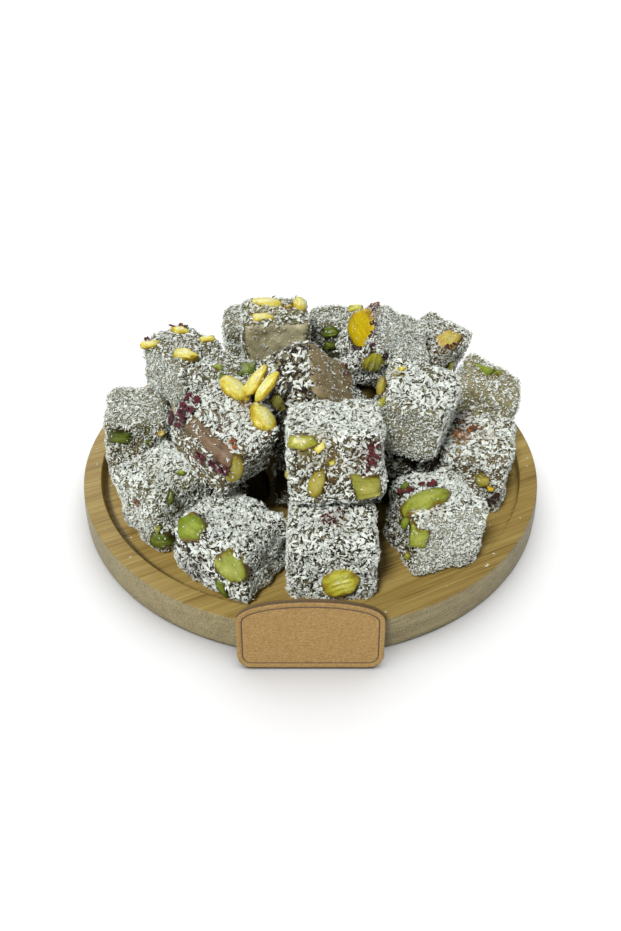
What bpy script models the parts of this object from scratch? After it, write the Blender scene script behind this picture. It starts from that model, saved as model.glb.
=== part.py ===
"""Pistachio turkish delight in desiccated coconut, a loose two-layer pile of cut cubes on a
round bamboo plate, with a small blank wooden plaque leaning on the front of the plate.

Metres, +Z up, origin at the centre of the plate's underside, the plaque faces -Y.
Every cube is its own solid, and so is every pistachio kernel that shows in a cube's cut
face: the kernel sits in a pocket of its own shape, a hair larger than it is.
"""
import math
import random

import bpy
import bmesh
from mathutils import Euler, Matrix, Vector

MM = 0.001

# Plate: turned from one piece of bamboo board, mm
PLATE_RADIUS = 99.5
PLATE_HEIGHT = 14.0
PLATE_FOOT_RADIUS = 98.7
RIM_INNER_RADIUS = 91.0
RECESS_FLOOR = 8.5
PLATE_STEPS = 48
SIDE_DRAW = 1.3
SIDE_STEPS = 6
PLATE_FOOT_BEVEL = 0.8

# Plaque: a thin board standing on the table and leaning back on the plate's edge, mm
PLAQUE_WIDTH = 50.0
PLAQUE_SIDE_HEIGHT = 17.5
PLAQUE_HEIGHT = 26.5
PLAQUE_THICKNESS = 2.5
PLAQUE_CORNER = 5.0
PLAQUE_FOOT_Y = -104.8
PLAQUE_FOOT_Z = 0.8
PLAQUE_LEAN = 16.0

# Cubes, mm
CUBE_ROUNDING = 3.0
CUBE_UNEVEN = 0.8
GAP = 0.3

# Kernels, mm
KERNEL_PROUD = 1.2
KERNEL_SEGMENTS = 8
KERNEL_RINGS = 5
KERNEL_TAPER = 0.18

SEED = 7

# Cubes that stand on the floor of the plate: x, y, yaw, pitch, roll, size along x, y, z
FLOOR_CUBES = {
    "front_1": (-29, -66, -33, -4, 0, 31, 27, 25),
    "front_2": (8, -68, 0, 0, 0, 30, 29, 30),
    "front_3": (46, -55, 18, -4, 0, 27, 27, 28),
    "left_1": (-57, -42, -45, 0, 0, 27, 26, 29),
    "left_2": (-74, 0, 5, 0, 3, 26, 29, 30),
    "right_1": (67.5, -21, -15, 0, 0, 28, 28, 30),
    "inner_01": (-33, -20, 10, 0, 0, 28, 26, 24),
    "inner_02": (0, -24, -10, 0, 0, 26, 26, 26),
    "inner_03": (34, -18, 10, 0, 0, 28, 27, 26),
    "inner_04": (-50, 29, 20, 0, 0, 26, 26, 26),
    "inner_05": (-18, 20, -5, 0, 0, 28, 27, 30),
    "inner_06": (12, 7, 10, 0, 0, 26, 26, 25),
    "inner_07": (41, 13, -5, 0, 0, 24, 24, 23),
    "inner_08": (-24, 59, 0, 0, 0, 27, 26, 20),
    "inner_09": (8, 59, 10, 0, 0, 27, 26, 20),
    "inner_10": (38, 65, -25, 0, 0, 25, 25, 21),
    "inner_11": (60, 40, -35, 0, 0, 24, 23, 16),
}

# Cubes of the upper layer: x, y, z of the centre, yaw, pitch, roll, size along x, y, z
UPPER_CUBES = {
    "middle_1": (-31, -45, 54.5, 45, 25, -8, 25, 29, 25),
    "middle_2": (9, -53, 54.5, 0, -5, -5, 31, 26, 28),
    "middle_3": (40.5, -25, 53, -22, 10, 7, 27, 27, 27),
    "top_1": (-15, 27, 54.3, 5, 0, 0, 28, 27, 29.5),
    "top_2": (-1.2, -18.5, 56.3, -12, -60, -35, 26, 31, 26),
    "top_3": (31.8, 22.3, 51.7, 10, 25, 28, 29, 27, 26),
    "upper_1": (-54, 10, 50.5, -40, 0, 5, 26, 24, 25),
    "upper_2": (-33, -8, 49.5, -25, 0, 5, 25, 22, 25),
    "right_2": (74, 7.6, 33, -15, 0, 18, 28, 26, 29),
    "back_1": (-28, 54, 42, 10, -5, 0, 26, 25, 22),
    "back_2": (12, 52, 42.5, 0, -5, 0, 26, 25, 22),
    "back_3": (56, 39, 41, -40, -5, 10, 23, 23, 25),
}

# Kernels in a cube's cut face: cube, point on the cube's surface in the cube's own axes, the
# way the kernel faces, turn of its long side in degrees, length, width, thickness, colour
KERNELS = {
    "front_1_a": ("front_1", (-7, -12.5, 12), (0, -1, 1.2), 5, 12, 9.5, 8, "green"),
    "front_1_b": ("front_1", (11, -13.5, 4.5), (0.3, -1, 0), -75, 14, 11.5, 8, "green"),
    "front_2_a": ("front_2", (3, -14.5, -3.5), (0, -1, 0.35), 25, 13.5, 12, 7, "yellow"),
    "front_3_a": ("front_3", (-5.5, -3.5, 14), (-0.2, 0, 1), 5, 19.5, 10.5, 7.5, "green"),
    "front_3_b": ("front_3", (-12, -13, 4.7), (-0.6, -1, 0), 85, 13, 8.5, 6.5, "green"),
    "left_1_a": ("left_1", (12.5, -12, -7), (1, -1, 0), 0, 10, 9, 7, "green"),
    "left_2_a": ("left_2", (-6, -14.5, 8), (0, -1, 0), -5, 11.5, 7, 6, "green"),
    "middle_1_a": ("middle_1", (11, 8, 12.5), (0.3, 0, 1), -82, 12.5, 8.5, 6, "yellow"),
    "middle_1_b": ("middle_1", (11, -5.5, 12.5), (0.3, 0, 1), 70, 13, 8.5, 6, "yellow"),
    "middle_1_c": ("middle_1", (-8, -14, 7), (-0.5, -1, 0.5), 80, 12, 6.5, 5, "yellow"),
    "middle_2_a": ("middle_2", (-10.5, -12.5, 12.5), (0, -1, 0.6), -5, 10, 5.5, 5, "yellow"),
    "middle_2_b": ("middle_2", (-7, -13, -4.3), (0, -1, 0), 70, 11.5, 5.5, 5, "yellow"),
    "middle_2_c": ("middle_2", (10, -13, -6.5), (0, -1, 0), 5, 12, 11.5, 7, "green"),
    "top_1_a": ("top_1", (-3.5, 6.5, 14.5), (0, 0, 1), -15, 14, 8.5, 6, "yellow"),
    "top_1_b": ("top_1", (-6, -7, 14.5), (0, 0, 1), 15, 11, 7.5, 5, "yellow"),
    "top_1_c": ("top_1", (10.8, 4, 14.7), (0.2, 0, 1), 90, 12, 5.5, 5, "yellow"),
    "top_2_a": ("top_2", (-4.5, -12.5, -8.5), (0, -1, 0), -60, 11, 6, 6, "yellow"),
    "top_3_a": ("top_3", (-13.5, 0.5, 4.5), (-1, -0.45, 0.1), 5, 19, 15.5, 9, "yellow"),
    "top_3_b": ("top_3", (-8, -13.5, 5), (0, -1, 0), 100, 13, 8.5, 6, "green"),
    "upper_1_a": ("upper_1", (8, -5.5, 12.5), (0, 0, 1), 25, 11.5, 6, 5, "yellow"),
    "upper_1_b": ("upper_1", (-7, 5.5, 12.5), (0, 0, 1), 60, 8.5, 6.5, 5, "yellow"),
    "upper_2_a": ("upper_2", (7, 2, 12.5), (0, 0, 1), -60, 12, 9, 6, "green"),
    "back_2_a": ("back_2", (-2.5, -12.5, 7), (0, -1, 0), 0, 8, 5, 5, "green"),
    "back_2_b": ("back_2", (9.5, 6, 11), (0, -0.4, 1), 10, 9.5, 6, 5, "yellow"),
    "back_3_a": ("back_3", (7, -1.5, 11), (0.5, -0.4, 1), 35, 16.5, 11.5, 8, "tan"),
    "right_1_a": ("right_1", (4.5, -14, 2), (0, -1, 0), 5, 6.5, 6, 5, "yellow"),
    "right_2_a": ("right_2", (-5, 2.5, 14.5), (0, 0, 1), 20, 11.5, 8.5, 6, "green"),
}

# Split kernels that stick out of the pile: x, y, z, yaw, pitch, length, width, thickness
LOOSE_KERNELS = {
    "loose_1": (-19.2, -36.8, 73.4, 38, -40, 13.5, 5.5, 3.5, "yellow"),
    "loose_2": (-15, -40.9, 73.9, 38, -40, 13, 5, 3.5, "yellow"),
}

# Colour, roughness of each material
MATERIALS = {
    "gel": ((0.42, 0.38, 0.30, 1), 0.45),
    "green": ((0.26, 0.34, 0.08, 1), 0.50),
    "yellow": ((0.62, 0.44, 0.05, 1), 0.45),
    "tan": ((0.50, 0.36, 0.14, 1), 0.55),
    "bamboo": ((0.50, 0.33, 0.13, 1), 0.50),
    "board": ((0.45, 0.28, 0.13, 1), 0.65),
}


def make_material(name):
    colour, roughness = MATERIALS[name]
    material = bpy.data.materials.new(name)
    material.use_nodes = True
    shader = material.node_tree.nodes["Principled BSDF"]
    shader.inputs["Base Color"].default_value = colour
    shader.inputs["Roughness"].default_value = roughness
    shader.inputs["Metallic"].default_value = 0.0
    return material


def add_object(name, data, group, material):
    obj = bpy.data.objects.new(name, data)
    group.objects.link(obj)
    if material is not None:
        data.materials.append(material)
    return obj


def turned(yaw, pitch, roll):
    """Turn about X by pitch, then about Y by roll, then about Z by yaw, in degrees."""
    return Euler((math.radians(pitch), math.radians(roll), math.radians(yaw)), "XYZ")


def cube_mesh(name, size, rng, cuts):
    """A box of the given size in mm whose corners are drawn in unevenly, as cut by hand."""
    bm = bmesh.new()
    bmesh.ops.create_cube(bm, size=1.0)
    for vert in bm.verts:
        vert.co = Vector(c * s * MM for c, s in zip(vert.co, size))
        for axis in range(3):
            pull = rng.uniform(0.0, CUBE_UNEVEN) * MM
            vert.co[axis] -= math.copysign(pull, vert.co[axis])
    if cuts:
        bmesh.ops.subdivide_edges(bm, edges=bm.edges, cuts=cuts, use_grid_fill=True)
    mesh = bpy.data.meshes.new(name)
    bm.to_mesh(mesh)
    bm.free()
    return mesh


def add_cube(key, size, place, angles, group, material, rng, cuts):
    mesh = cube_mesh("lokum_" + key, size, rng, cuts)
    obj = add_object("lokum_" + key, mesh, group, material)
    obj.rotation_euler = turned(*angles)
    turn = obj.rotation_euler.to_matrix()
    x, y, z = (c * MM for c in place)
    if z == 0:
        lowest = min((turn @ vert.co).z for vert in mesh.vertices)
        z = (RECESS_FLOOR + GAP) * MM - lowest
    obj.location = (x, y, z)
    bevel = obj.modifiers.new("rounding", "BEVEL")
    bevel.width = CUBE_ROUNDING * MM
    bevel.segments = 2
    bevel.limit_method = "ANGLE"
    bevel.angle_limit = math.radians(40)
    return obj


def kernel_mesh(name, length, width, thickness):
    """A long egg shape with its long side on X, thinner towards +X, sizes in mm."""
    bm = bmesh.new()
    bmesh.ops.create_uvsphere(bm, u_segments=KERNEL_SEGMENTS, v_segments=KERNEL_RINGS, radius=1.0)
    for vert in bm.verts:
        taper = 1.0 - KERNEL_TAPER * vert.co.x
        vert.co.x *= length / 2 * MM
        vert.co.y *= width / 2 * taper * MM
        vert.co.z *= thickness / 2 * taper * MM
    mesh = bpy.data.meshes.new(name)
    bm.to_mesh(mesh)
    bm.free()
    mesh.shade_smooth()
    return mesh


def face_frame(facing, turn_degrees):
    """Axes of a kernel that looks along facing: long side, short side, outward."""
    outward = Vector(facing).normalized()
    level = Vector((0, 0, 1)).cross(outward)
    if level.length < 0.3 or abs(outward.z) > 0.9:
        level = Vector((0, 1, 0)).cross(outward)
    level.normalize()
    frame = Matrix((level, outward.cross(level), outward)).transposed()
    return frame @ Matrix.Rotation(math.radians(turn_degrees), 3, "Z")


def add_kernel(key, entry, cubes, group, cutters, materials):
    """A kernel set into its cube, and the slightly larger cutter that makes its pocket."""
    cube_key, point, facing, turn_degrees, length, width, thickness, colour = entry
    cube = cubes[cube_key]
    frame = face_frame(facing, turn_degrees)
    sunk = (thickness / 2 - KERNEL_PROUD) * MM
    centre = Vector(point) * MM - Vector(frame.col[2]) * sunk
    place = Matrix.LocRotScale(cube.location, cube.rotation_euler, None)
    world = place @ Matrix.Translation(centre) @ frame.to_4x4()
    mesh = kernel_mesh("pistachio_" + key, length, width, thickness)
    kernel = add_object("pistachio_" + key, mesh, group, materials[colour])
    grown = [side + 2 * GAP for side in (length, width, thickness)]
    pocket_mesh = kernel_mesh("pocket_" + key, *grown)
    pocket = add_object("pocket_" + key, pocket_mesh, cutters, None)
    pocket.hide_render = True
    pocket.display_type = "WIRE"
    for obj in (kernel, pocket):
        obj.location = world.to_translation()
        obj.rotation_euler = world.to_euler("XYZ")
    cut = cube.modifiers.new("pocket_" + key, "BOOLEAN")
    cut.operation = "DIFFERENCE"
    cut.solver = "EXACT"
    cut.object = pocket


def add_loose_kernel(key, entry, group, materials):
    x, y, z, yaw, pitch, length, width, thickness, colour = entry
    mesh = kernel_mesh("pistachio_" + key, length, width, thickness)
    kernel = add_object("pistachio_" + key, mesh, group, materials[colour])
    kernel.location = (x * MM, y * MM, z * MM)
    kernel.rotation_euler = turned(yaw, 0, pitch)


def plate_profile():
    """Half section of the plate from the axis out over the rim and back, as (r, z) in mm."""
    inner = RIM_INNER_RADIUS
    outer = PLATE_RADIUS
    top = PLATE_HEIGHT
    points = [(0.0, RECESS_FLOOR), (inner - 2.0, RECESS_FLOOR)]
    points += [(inner - 0.5, RECESS_FLOOR + 0.7), (inner, RECESS_FLOOR + 2.2)]
    points += [(inner + 0.2, top - 0.8), (inner + 1.0, top)]
    for step in range(SIDE_STEPS):
        rise = 1.0 - step / (SIDE_STEPS - 1)
        height = PLATE_FOOT_BEVEL + (top - PLATE_FOOT_BEVEL) * rise
        points.append((outer - SIDE_DRAW * rise**2, height))
    points += [(PLATE_FOOT_RADIUS, 0.0), (0.0, 0.0)]
    return points


def add_plate(group, material):
    points = plate_profile()
    mesh = bpy.data.meshes.new("plate")
    verts = [(r * MM, 0.0, z * MM) for r, z in points]
    edges = [(i, i + 1) for i in range(len(points) - 1)]
    mesh.from_pydata(verts, edges, [])
    plate = add_object("plate", mesh, group, material)
    screw = plate.modifiers.new("turning", "SCREW")
    screw.axis = "Z"
    screw.angle = math.tau
    screw.steps = PLATE_STEPS
    screw.render_steps = PLATE_STEPS
    screw.use_merge_vertices = True
    screw.merge_threshold = 0.00001
    screw.use_smooth_shade = True


def plaque_outline():
    """Rounded board with a softly arched top, as (x, y) in mm, y up from the foot."""
    half = PLAQUE_WIDTH / 2
    round_r = PLAQUE_CORNER
    side = PLAQUE_SIDE_HEIGHT
    rise = PLAQUE_HEIGHT - side
    points = []
    for corner_x, start in ((-half + round_r, 180), (half - round_r, 270)):
        for step in range(5):
            angle = math.radians(start + step * 22.5)
            points.append((corner_x + round_r * math.cos(angle), round_r * (1 + math.sin(angle))))
    arch_steps = 14
    for step in range(arch_steps + 1):
        angle = math.pi * step / arch_steps
        bulge = math.sin(angle) ** 0.7
        points.append((half * math.cos(angle), side + rise * bulge))
    return points


def add_plaque(group, material):
    curve = bpy.data.curves.new("plaque_outline", "CURVE")
    curve.dimensions = "2D"
    curve.fill_mode = "BOTH"
    curve.extrude = PLAQUE_THICKNESS / 2 * MM
    spline = curve.splines.new("POLY")
    points = plaque_outline()
    spline.points.add(len(points) - 1)
    for target, (x, y) in zip(spline.points, points):
        target.co = (x * MM, y * MM, -PLAQUE_THICKNESS / 2 * MM, 1.0)
    spline.use_cyclic_u = True
    plaque = add_object("plaque", curve, group, material)
    plaque.location = (0.0, PLAQUE_FOOT_Y * MM, PLAQUE_FOOT_Z * MM)
    plaque.rotation_euler = (math.radians(90 - PLAQUE_LEAN), 0.0, 0.0)


def build():
    for obj in list(bpy.data.objects):
        bpy.data.objects.remove(obj, do_unlink=True)
    group = bpy.data.collections.new("turkish_delight")
    cutters = bpy.data.collections.new("cutters")
    bpy.context.scene.collection.children.link(group)
    bpy.context.scene.collection.children.link(cutters)
    materials = {name: make_material(name) for name in MATERIALS}
    rng = random.Random(SEED)
    add_plate(group, materials["bamboo"])
    add_plaque(group, materials["board"])
    cubes = {}
    for key, (x, y, yaw, pitch, roll, *size) in FLOOR_CUBES.items():
        cuts = 0 if key.startswith("inner") else 1
        angles = (yaw, pitch, roll)
        cubes[key] = add_cube(key, size, (x, y, 0), angles, group, materials["gel"], rng, cuts)
    for key, (x, y, z, yaw, pitch, roll, *size) in UPPER_CUBES.items():
        angles = (yaw, pitch, roll)
        cubes[key] = add_cube(key, size, (x, y, z), angles, group, materials["gel"], rng, 1)
    for key, entry in KERNELS.items():
        add_kernel(key, entry, cubes, group, cutters, materials)
    for key, entry in LOOSE_KERNELS.items():
        add_loose_kernel(key, entry, group, materials)


build()
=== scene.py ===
"""Pistachio turkish delight: two layers of hand-cut cubes of starch gel, rolled in desiccated
coconut, piled on a turned bamboo plate with a small blank wooden plaque in front."""

import math

import bpy
import numpy as np
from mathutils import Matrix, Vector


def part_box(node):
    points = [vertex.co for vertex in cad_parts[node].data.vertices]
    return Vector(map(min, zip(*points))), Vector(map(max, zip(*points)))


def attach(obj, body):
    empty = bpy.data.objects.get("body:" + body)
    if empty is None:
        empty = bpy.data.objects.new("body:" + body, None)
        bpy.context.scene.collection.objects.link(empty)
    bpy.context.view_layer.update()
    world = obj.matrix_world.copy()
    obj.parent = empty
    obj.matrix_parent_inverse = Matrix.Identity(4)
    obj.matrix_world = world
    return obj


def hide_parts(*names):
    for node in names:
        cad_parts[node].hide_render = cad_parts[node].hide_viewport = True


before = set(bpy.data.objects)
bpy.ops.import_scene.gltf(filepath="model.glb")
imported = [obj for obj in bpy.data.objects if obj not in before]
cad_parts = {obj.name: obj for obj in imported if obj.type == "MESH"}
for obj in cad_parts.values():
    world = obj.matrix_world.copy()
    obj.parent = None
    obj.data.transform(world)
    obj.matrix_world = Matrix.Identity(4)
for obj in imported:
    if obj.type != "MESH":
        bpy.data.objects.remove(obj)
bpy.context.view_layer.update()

# ---------------------------------------------------------------------------------------------
# The table: a wide, plain, matt white sheet under a white dome that only the eye sees. One soft
# lamp stands to the left above the front of the plate and a weak one behind it. The table has
# a wide lamp of its own, a little behind, that only the plate and the plaque shade.
MM = 0.001


def linear(hex_colour, alpha=1.0):
    """sRGB hex to linear: c / 12.92 below 0.04045, else ((c + 0.055) / 1.055) to the 2.4."""
    channels = [int(hex_colour[i : i + 2], 16) / 255 for i in (1, 3, 5)]
    flat = [c / 12.92 if c <= 0.04045 else ((c + 0.055) / 1.055) ** 2.4 for c in channels]
    return (*flat, alpha)


def node(tree, kind, settings=None, links=None):
    """Adds a shader node: settings are socket values, properties or a ramp's stops of place
    and hex colour, links are outputs joined to its sockets."""
    made = tree.nodes.new("ShaderNode" + kind)
    for key, value in (settings or {}).items():
        if key == "stops":
            stops = made.color_ramp.elements
            while len(stops) < len(value):
                stops.new(0.5)
            for stop, (at, tone) in zip(stops, value):
                stop.position, stop.color = at, linear(tone)
        elif isinstance(key, int) or key in made.inputs:
            made.inputs[key].default_value = value
        else:
            setattr(made, key, value)
    for key, output in (links or {}).items():
        tree.links.new(output, made.inputs[key])
    return made


def new_material(name, settings):
    """A Principled material and its node tree; colours among its settings are hex."""
    material = bpy.data.materials.new(name)
    material.use_nodes = True
    sockets = material.node_tree.nodes["Principled BSDF"].inputs
    for key, value in settings.items():
        sockets[key].default_value = linear(value) if isinstance(value, str) else value
    return material, material.node_tree


def new_mesh(name, points, faces, material, smooth=True, attributes=None):
    """Object at the origin from arrays in mm; faces is an array of triangles or quads, or a
    list of such arrays; attributes are one value or one colour for each point."""
    blocks = faces if isinstance(faces, list) else [faces]
    mesh = bpy.data.meshes.new(name)
    mesh.vertices.add(len(points))
    mesh.vertices.foreach_set("co", np.ascontiguousarray(points * MM, np.float32).ravel())
    corners = np.concatenate([block.ravel() for block in blocks]).astype(np.int32)
    sides = np.concatenate([np.full(len(block), block.shape[1]) for block in blocks])
    mesh.loops.add(len(corners))
    mesh.loops.foreach_set("vertex_index", corners)
    mesh.polygons.add(len(sides))
    starts = np.concatenate([[0], np.cumsum(sides)[:-1]]).astype(np.int32)
    mesh.polygons.foreach_set("loop_start", starts)
    mesh.update(calc_edges=True)
    mesh.validate()
    mesh.polygons.foreach_set("use_smooth", np.full(len(sides), smooth))
    for key, values in (attributes or {}).items():
        kind = "FLOAT" if values.ndim == 1 else "FLOAT_COLOR"
        layer = mesh.attributes.new(key, kind, "POINT")
        field = "value" if values.ndim == 1 else "color"
        layer.data.foreach_set(field, np.ascontiguousarray(values, np.float32).ravel())
    mesh.materials.append(material)
    made = bpy.data.objects.new(name, mesh)
    bpy.context.scene.collection.objects.link(made)
    return made


def ways_of(around, height):
    """Unit vectors at angles round Z and up from the table."""
    level = np.cos(height)
    return np.stack([np.cos(around) * level, np.sin(around) * level, np.sin(height)], axis=-1)


def grid_quads(index):
    """Quads between the neighbours of a grid of point numbers."""
    return np.stack(
        [index[:-1, :-1], index[1:, :-1], index[1:, 1:], index[:-1, 1:]], axis=-1
    ).reshape(-1, 4)


def look_at_origin(thing, place):
    """Puts a lamp at a place and turns its -Z axis to the origin."""
    thing.location = place
    back = np.array(place) / np.linalg.norm(place)
    thing.rotation_euler = (math.acos(back[2]), 0, math.atan2(back[0], -back[1]))


scene = bpy.context.scene
scene.view_settings.view_transform = "Standard"

TABLE_HALF = 4000
TABLE_GAP = 0.05
paper, _ = new_material("matt_white_paper", {"Roughness": 0.9, "Base Color": "#D8D8D8"})
corners = np.array([[-1, -1, 0], [1, -1, 0], [1, 1, 0], [-1, 1, 0]]) * TABLE_HALF
table = new_mesh("table_top", corners - [0, 0, TABLE_GAP], np.array([[0, 1, 2, 3]]), paper)

room = bpy.data.worlds.new("pale_room")
scene.world = room
room.use_nodes = True
room.node_tree.nodes["Background"].inputs["Color"].default_value = linear("#F4F6F4")
room.node_tree.nodes["Background"].inputs["Strength"].default_value = 0.16
only_table, not_table, plate_and_plaque = (
    bpy.data.collections.new(name) for name in ("only_table", "not_table", "plate_and_plaque")
)
only_table.objects.link(table)
not_table.objects.link(table)
not_table.collection_objects[0].light_linking.link_state = "EXCLUDE"
# Each lamp: the way to it, the angle that it spans, strength, what it lights
for name, place, spread_angle, strength, receivers in (
    ("soft_light_front", (-0.27, -0.50, 0.82), 14, 2.8, not_table),
    ("soft_light_behind", (-0.25, 0.80, 0.54), 40, 0.85, not_table),
    ("wide_light_on_table", (-0.03, 0.42, 0.91), 96, 4.95, only_table),
):
    lamp = bpy.data.lights.new(name, "SUN")
    lamp.angle = math.radians(spread_angle)
    lamp.energy = strength
    lamp_object = bpy.data.objects.new(name, lamp)
    lamp_object.light_linking.receiver_collection = receivers
    if receivers == only_table:
        lamp_object.light_linking.blocker_collection = plate_and_plaque
    scene.collection.objects.link(lamp_object)
    look_at_origin(lamp_object, place)

DOME_RADIUS = 3900
dome_white, _ = new_material(
    "white_dome", {"Base Color": "#000000", "Emission Color": "#FFFFFF", "Emission Strength": 1.0}
)
around, height = np.meshgrid(
    np.linspace(0, 2 * np.pi, 65), np.linspace(0, np.pi / 2, 17), indexing="ij"
)
points = DOME_RADIUS * ways_of(around, height).reshape(-1, 3)
index = np.arange(around.size).reshape(around.shape)
dome = new_mesh("white_dome", points, grid_quads(index.T), dome_white)
for ray in ("diffuse", "glossy", "transmission", "volume_scatter", "shadow"):
    setattr(dome, "visible_" + ray, False)

CAMERA_PLACE = (0.0, -0.24662, 0.20642)
CAMERA_HEIGHT_ANGLE = 39.3
CAMERA_LENS = 27.07
camera = bpy.data.cameras.new("camera")
camera.lens = CAMERA_LENS
camera.clip_start = 0.01
camera_object = bpy.data.objects.new("camera", camera)
scene.collection.objects.link(camera_object)
camera_object.location = CAMERA_PLACE
camera_object.rotation_euler = (math.radians(90 - CAMERA_HEIGHT_ANGLE), 0, 0)
scene.camera = camera_object

# ---------------------------------------------------------------------------------------------
# The plate: one board of laminated bamboo, turned on a lathe with a shallow recess and a low
# rim, sanded and oiled. Its fibres run straight through, at an angle to the plaque's face.
PLATE_RADIUS = 99.5
PLATE_TOP = 14.0
RECESS_RADIUS = 91.0
RECESS_FLOOR = 8.5
FILLET = 2.0
INNER_EDGE = 0.5
OUTER_EDGE = 0.4
SIDE_LEAN = 1.3
FIBRE_ANGLE = 26.0
BUNDLE_LENGTH = 40.0
BUNDLE_THICKNESS = 0.9
STRIP_WIDTH = 6.0


def arc(centre, radius, start, stop, steps):
    """Points (r, z) on a circle from one angle to another, in degrees."""
    angle = np.radians(np.linspace(start, stop, steps))
    return np.stack([centre[0] + radius * np.cos(angle), centre[1] + radius * np.sin(angle)], 1)


def ring_faces(rows, steps):
    """Quads between closed rings of points that lie one after the other, and triangles that
    close the first ring to the point after the last ring, and the last ring to the next."""
    index = np.arange(rows * steps).reshape(rows, steps)
    index = np.concatenate([index, index[:, :1]], axis=1)
    first, last = index[0], index[-1]
    start, stop = (np.full(steps, rows * steps + end) for end in (0, 1))
    caps = [[start, first[:-1], first[1:]], [stop, last[1:], last[:-1]]]
    return [grid_quads(index), np.concatenate([np.stack(cap, axis=1) for cap in caps])]


def turned(profile, steps):
    """Profile (r, z) carried round the Z axis; both of its ends lie on the axis."""
    angle = np.linspace(0, 2 * np.pi, steps, endpoint=False)
    middle = profile[1:-1, None]
    ring = np.stack([np.cos(angle), np.sin(angle)], axis=1)
    level = np.broadcast_to(middle[..., 1:], (len(middle), steps, 1))
    sides = np.concatenate([middle[..., :1] * ring, level], axis=2).reshape(-1, 3)
    points = np.concatenate([sides, [[0, 0, profile[0, 1]], [0, 0, profile[-1, 1]]]])
    return points, ring_faces(len(middle), steps)


def add_piece(made, slot, *replaced):
    """Every piece rides on the one body; a soft CAD solid is hidden by what stands for it."""
    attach(made, "root")
    if replaced:
        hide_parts(*replaced)
    return made


def surface(tree, colour, height, strength, depth):
    """Joins a colour to the shader, and a height to it by a bump of a depth in mm."""
    sockets = tree.nodes["Principled BSDF"].inputs
    bump = node(tree, "Bump", {"Strength": strength, "Distance": depth * MM}, {"Height": height})
    tree.links.new(colour, sockets["Base Color"])
    tree.links.new(bump.outputs[0], sockets["Normal"])


# the outer side leans in towards the rim, with the square of the height
rise = np.linspace(0.96, 0.06, 16)
side = np.stack([PLATE_RADIUS - SIDE_LEAN * rise**2, rise * PLATE_TOP], axis=1)
profile = np.concatenate(
    [
        [[0, RECESS_FLOOR]],
        np.stack([np.linspace(10, RECESS_RADIUS - 2.4, 10), np.full(10, RECESS_FLOOR)], axis=1),
        arc((RECESS_RADIUS - FILLET, RECESS_FLOOR + FILLET), FILLET, -90, 0, 8),
        arc((RECESS_RADIUS + INNER_EDGE, PLATE_TOP - INNER_EDGE), INNER_EDGE, 180, 90, 6),
        [[RECESS_RADIUS + 4, PLATE_TOP]],
        arc((PLATE_RADIUS - SIDE_LEAN - OUTER_EDGE, PLATE_TOP - OUTER_EDGE), OUTER_EDGE, 90, 15, 5),
        side,
        [[PLATE_RADIUS - 0.2, 0.4], [PLATE_RADIUS - 0.6, 0.0], [60, 0.0], [0, 0.0]],
    ]
)
bamboo, tree = new_material(
    # oiled laminated bamboo, turned across its fibres: a satin gold with fine dark bundles
    "oiled_bamboo",
    {"Roughness": 0.5, "IOR": 1.5, "Specular IOR Level": 0.4},
)
place = node(tree, "TexCoord").outputs["Object"]
along_fibres = node(
    tree, "Mapping", {"Rotation": (0, 0, math.radians(-FIBRE_ANGLE))}, {"Vector": place}
).outputs[0]
in_mm = node(tree, "VectorMath", {"operation": "SCALE", "Scale": 1 / MM}, {0: along_fibres})
# fibre bundles are dark lines that run on and break off
bundle_scale = (1 / BUNDLE_LENGTH, 1 / BUNDLE_THICKNESS, 1 / BUNDLE_THICKNESS)
bundles = node(tree, "Mapping", {"Scale": bundle_scale}, {"Vector": in_mm.outputs[0]}).outputs[0]
fine, broad = (
    node(
        tree,
        "TexNoise",
        {"Scale": scale, "Detail": detail, "Roughness": roughness},
        {"Vector": bundles},
    ).outputs["Fac"]
    for scale, detail, roughness in ((1.0, 3, 0.65), (0.22, 2, 0.6))
)
# strips of the lamination are each a little lighter or darker than the next
across_fibres = node(tree, "SeparateXYZ", links={0: along_fibres}).outputs[1]
strip = node(tree, "Math", {"operation": "DIVIDE", 1: STRIP_WIDTH * MM}, {0: across_fibres})
strip = node(tree, "Math", {"operation": "FLOOR"}, {0: strip.outputs[0]})
strip = node(tree, "TexWhiteNoise", {"noise_dimensions": "1D"}, {"W": strip.outputs[0]})
part_broad = node(tree, "Math", {"operation": "MULTIPLY", 1: 0.4}, {0: broad}).outputs[0]
fibres = node(tree, "Math", {"operation": "MULTIPLY_ADD", 1: 0.6}, {0: fine, 2: part_broad})
level_links = {0: strip.outputs[0], 2: fibres.outputs[0]}
face_level = node(tree, "Math", {"operation": "MULTIPLY_ADD", 1: 0.035}, level_links).outputs[0]
# on the turned side the cut fibre ends make a fine speckle, 0.4 mm across
speckle = node(tree, "TexNoise", {"Scale": 2500, "Detail": 2, "Roughness": 0.6}, {"Vector": place})
half_face = node(tree, "Math", {"operation": "MULTIPLY", 1: 0.5}, {0: face_level}).outputs[0]
level_links = {0: speckle.outputs["Fac"], 2: half_face}
side_level = node(tree, "Math", {"operation": "MULTIPLY_ADD", 1: 0.5}, level_links).outputs[0]
face_colour, side_colour = (
    node(tree, "ValToRGB", {"stops": stops}, {"Fac": level}).outputs[0]
    for level, stops in (
        (face_level, ((0.33, "#6C5422"), (0.44, "#93793E"), (0.55, "#A68D4E"), (0.68, "#B8A262"))),
        (side_level, ((0.36, "#5A5134"), (0.46, "#847856"), (0.58, "#9C9068"), (0.70, "#BDB28C"))),
    )
)
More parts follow.
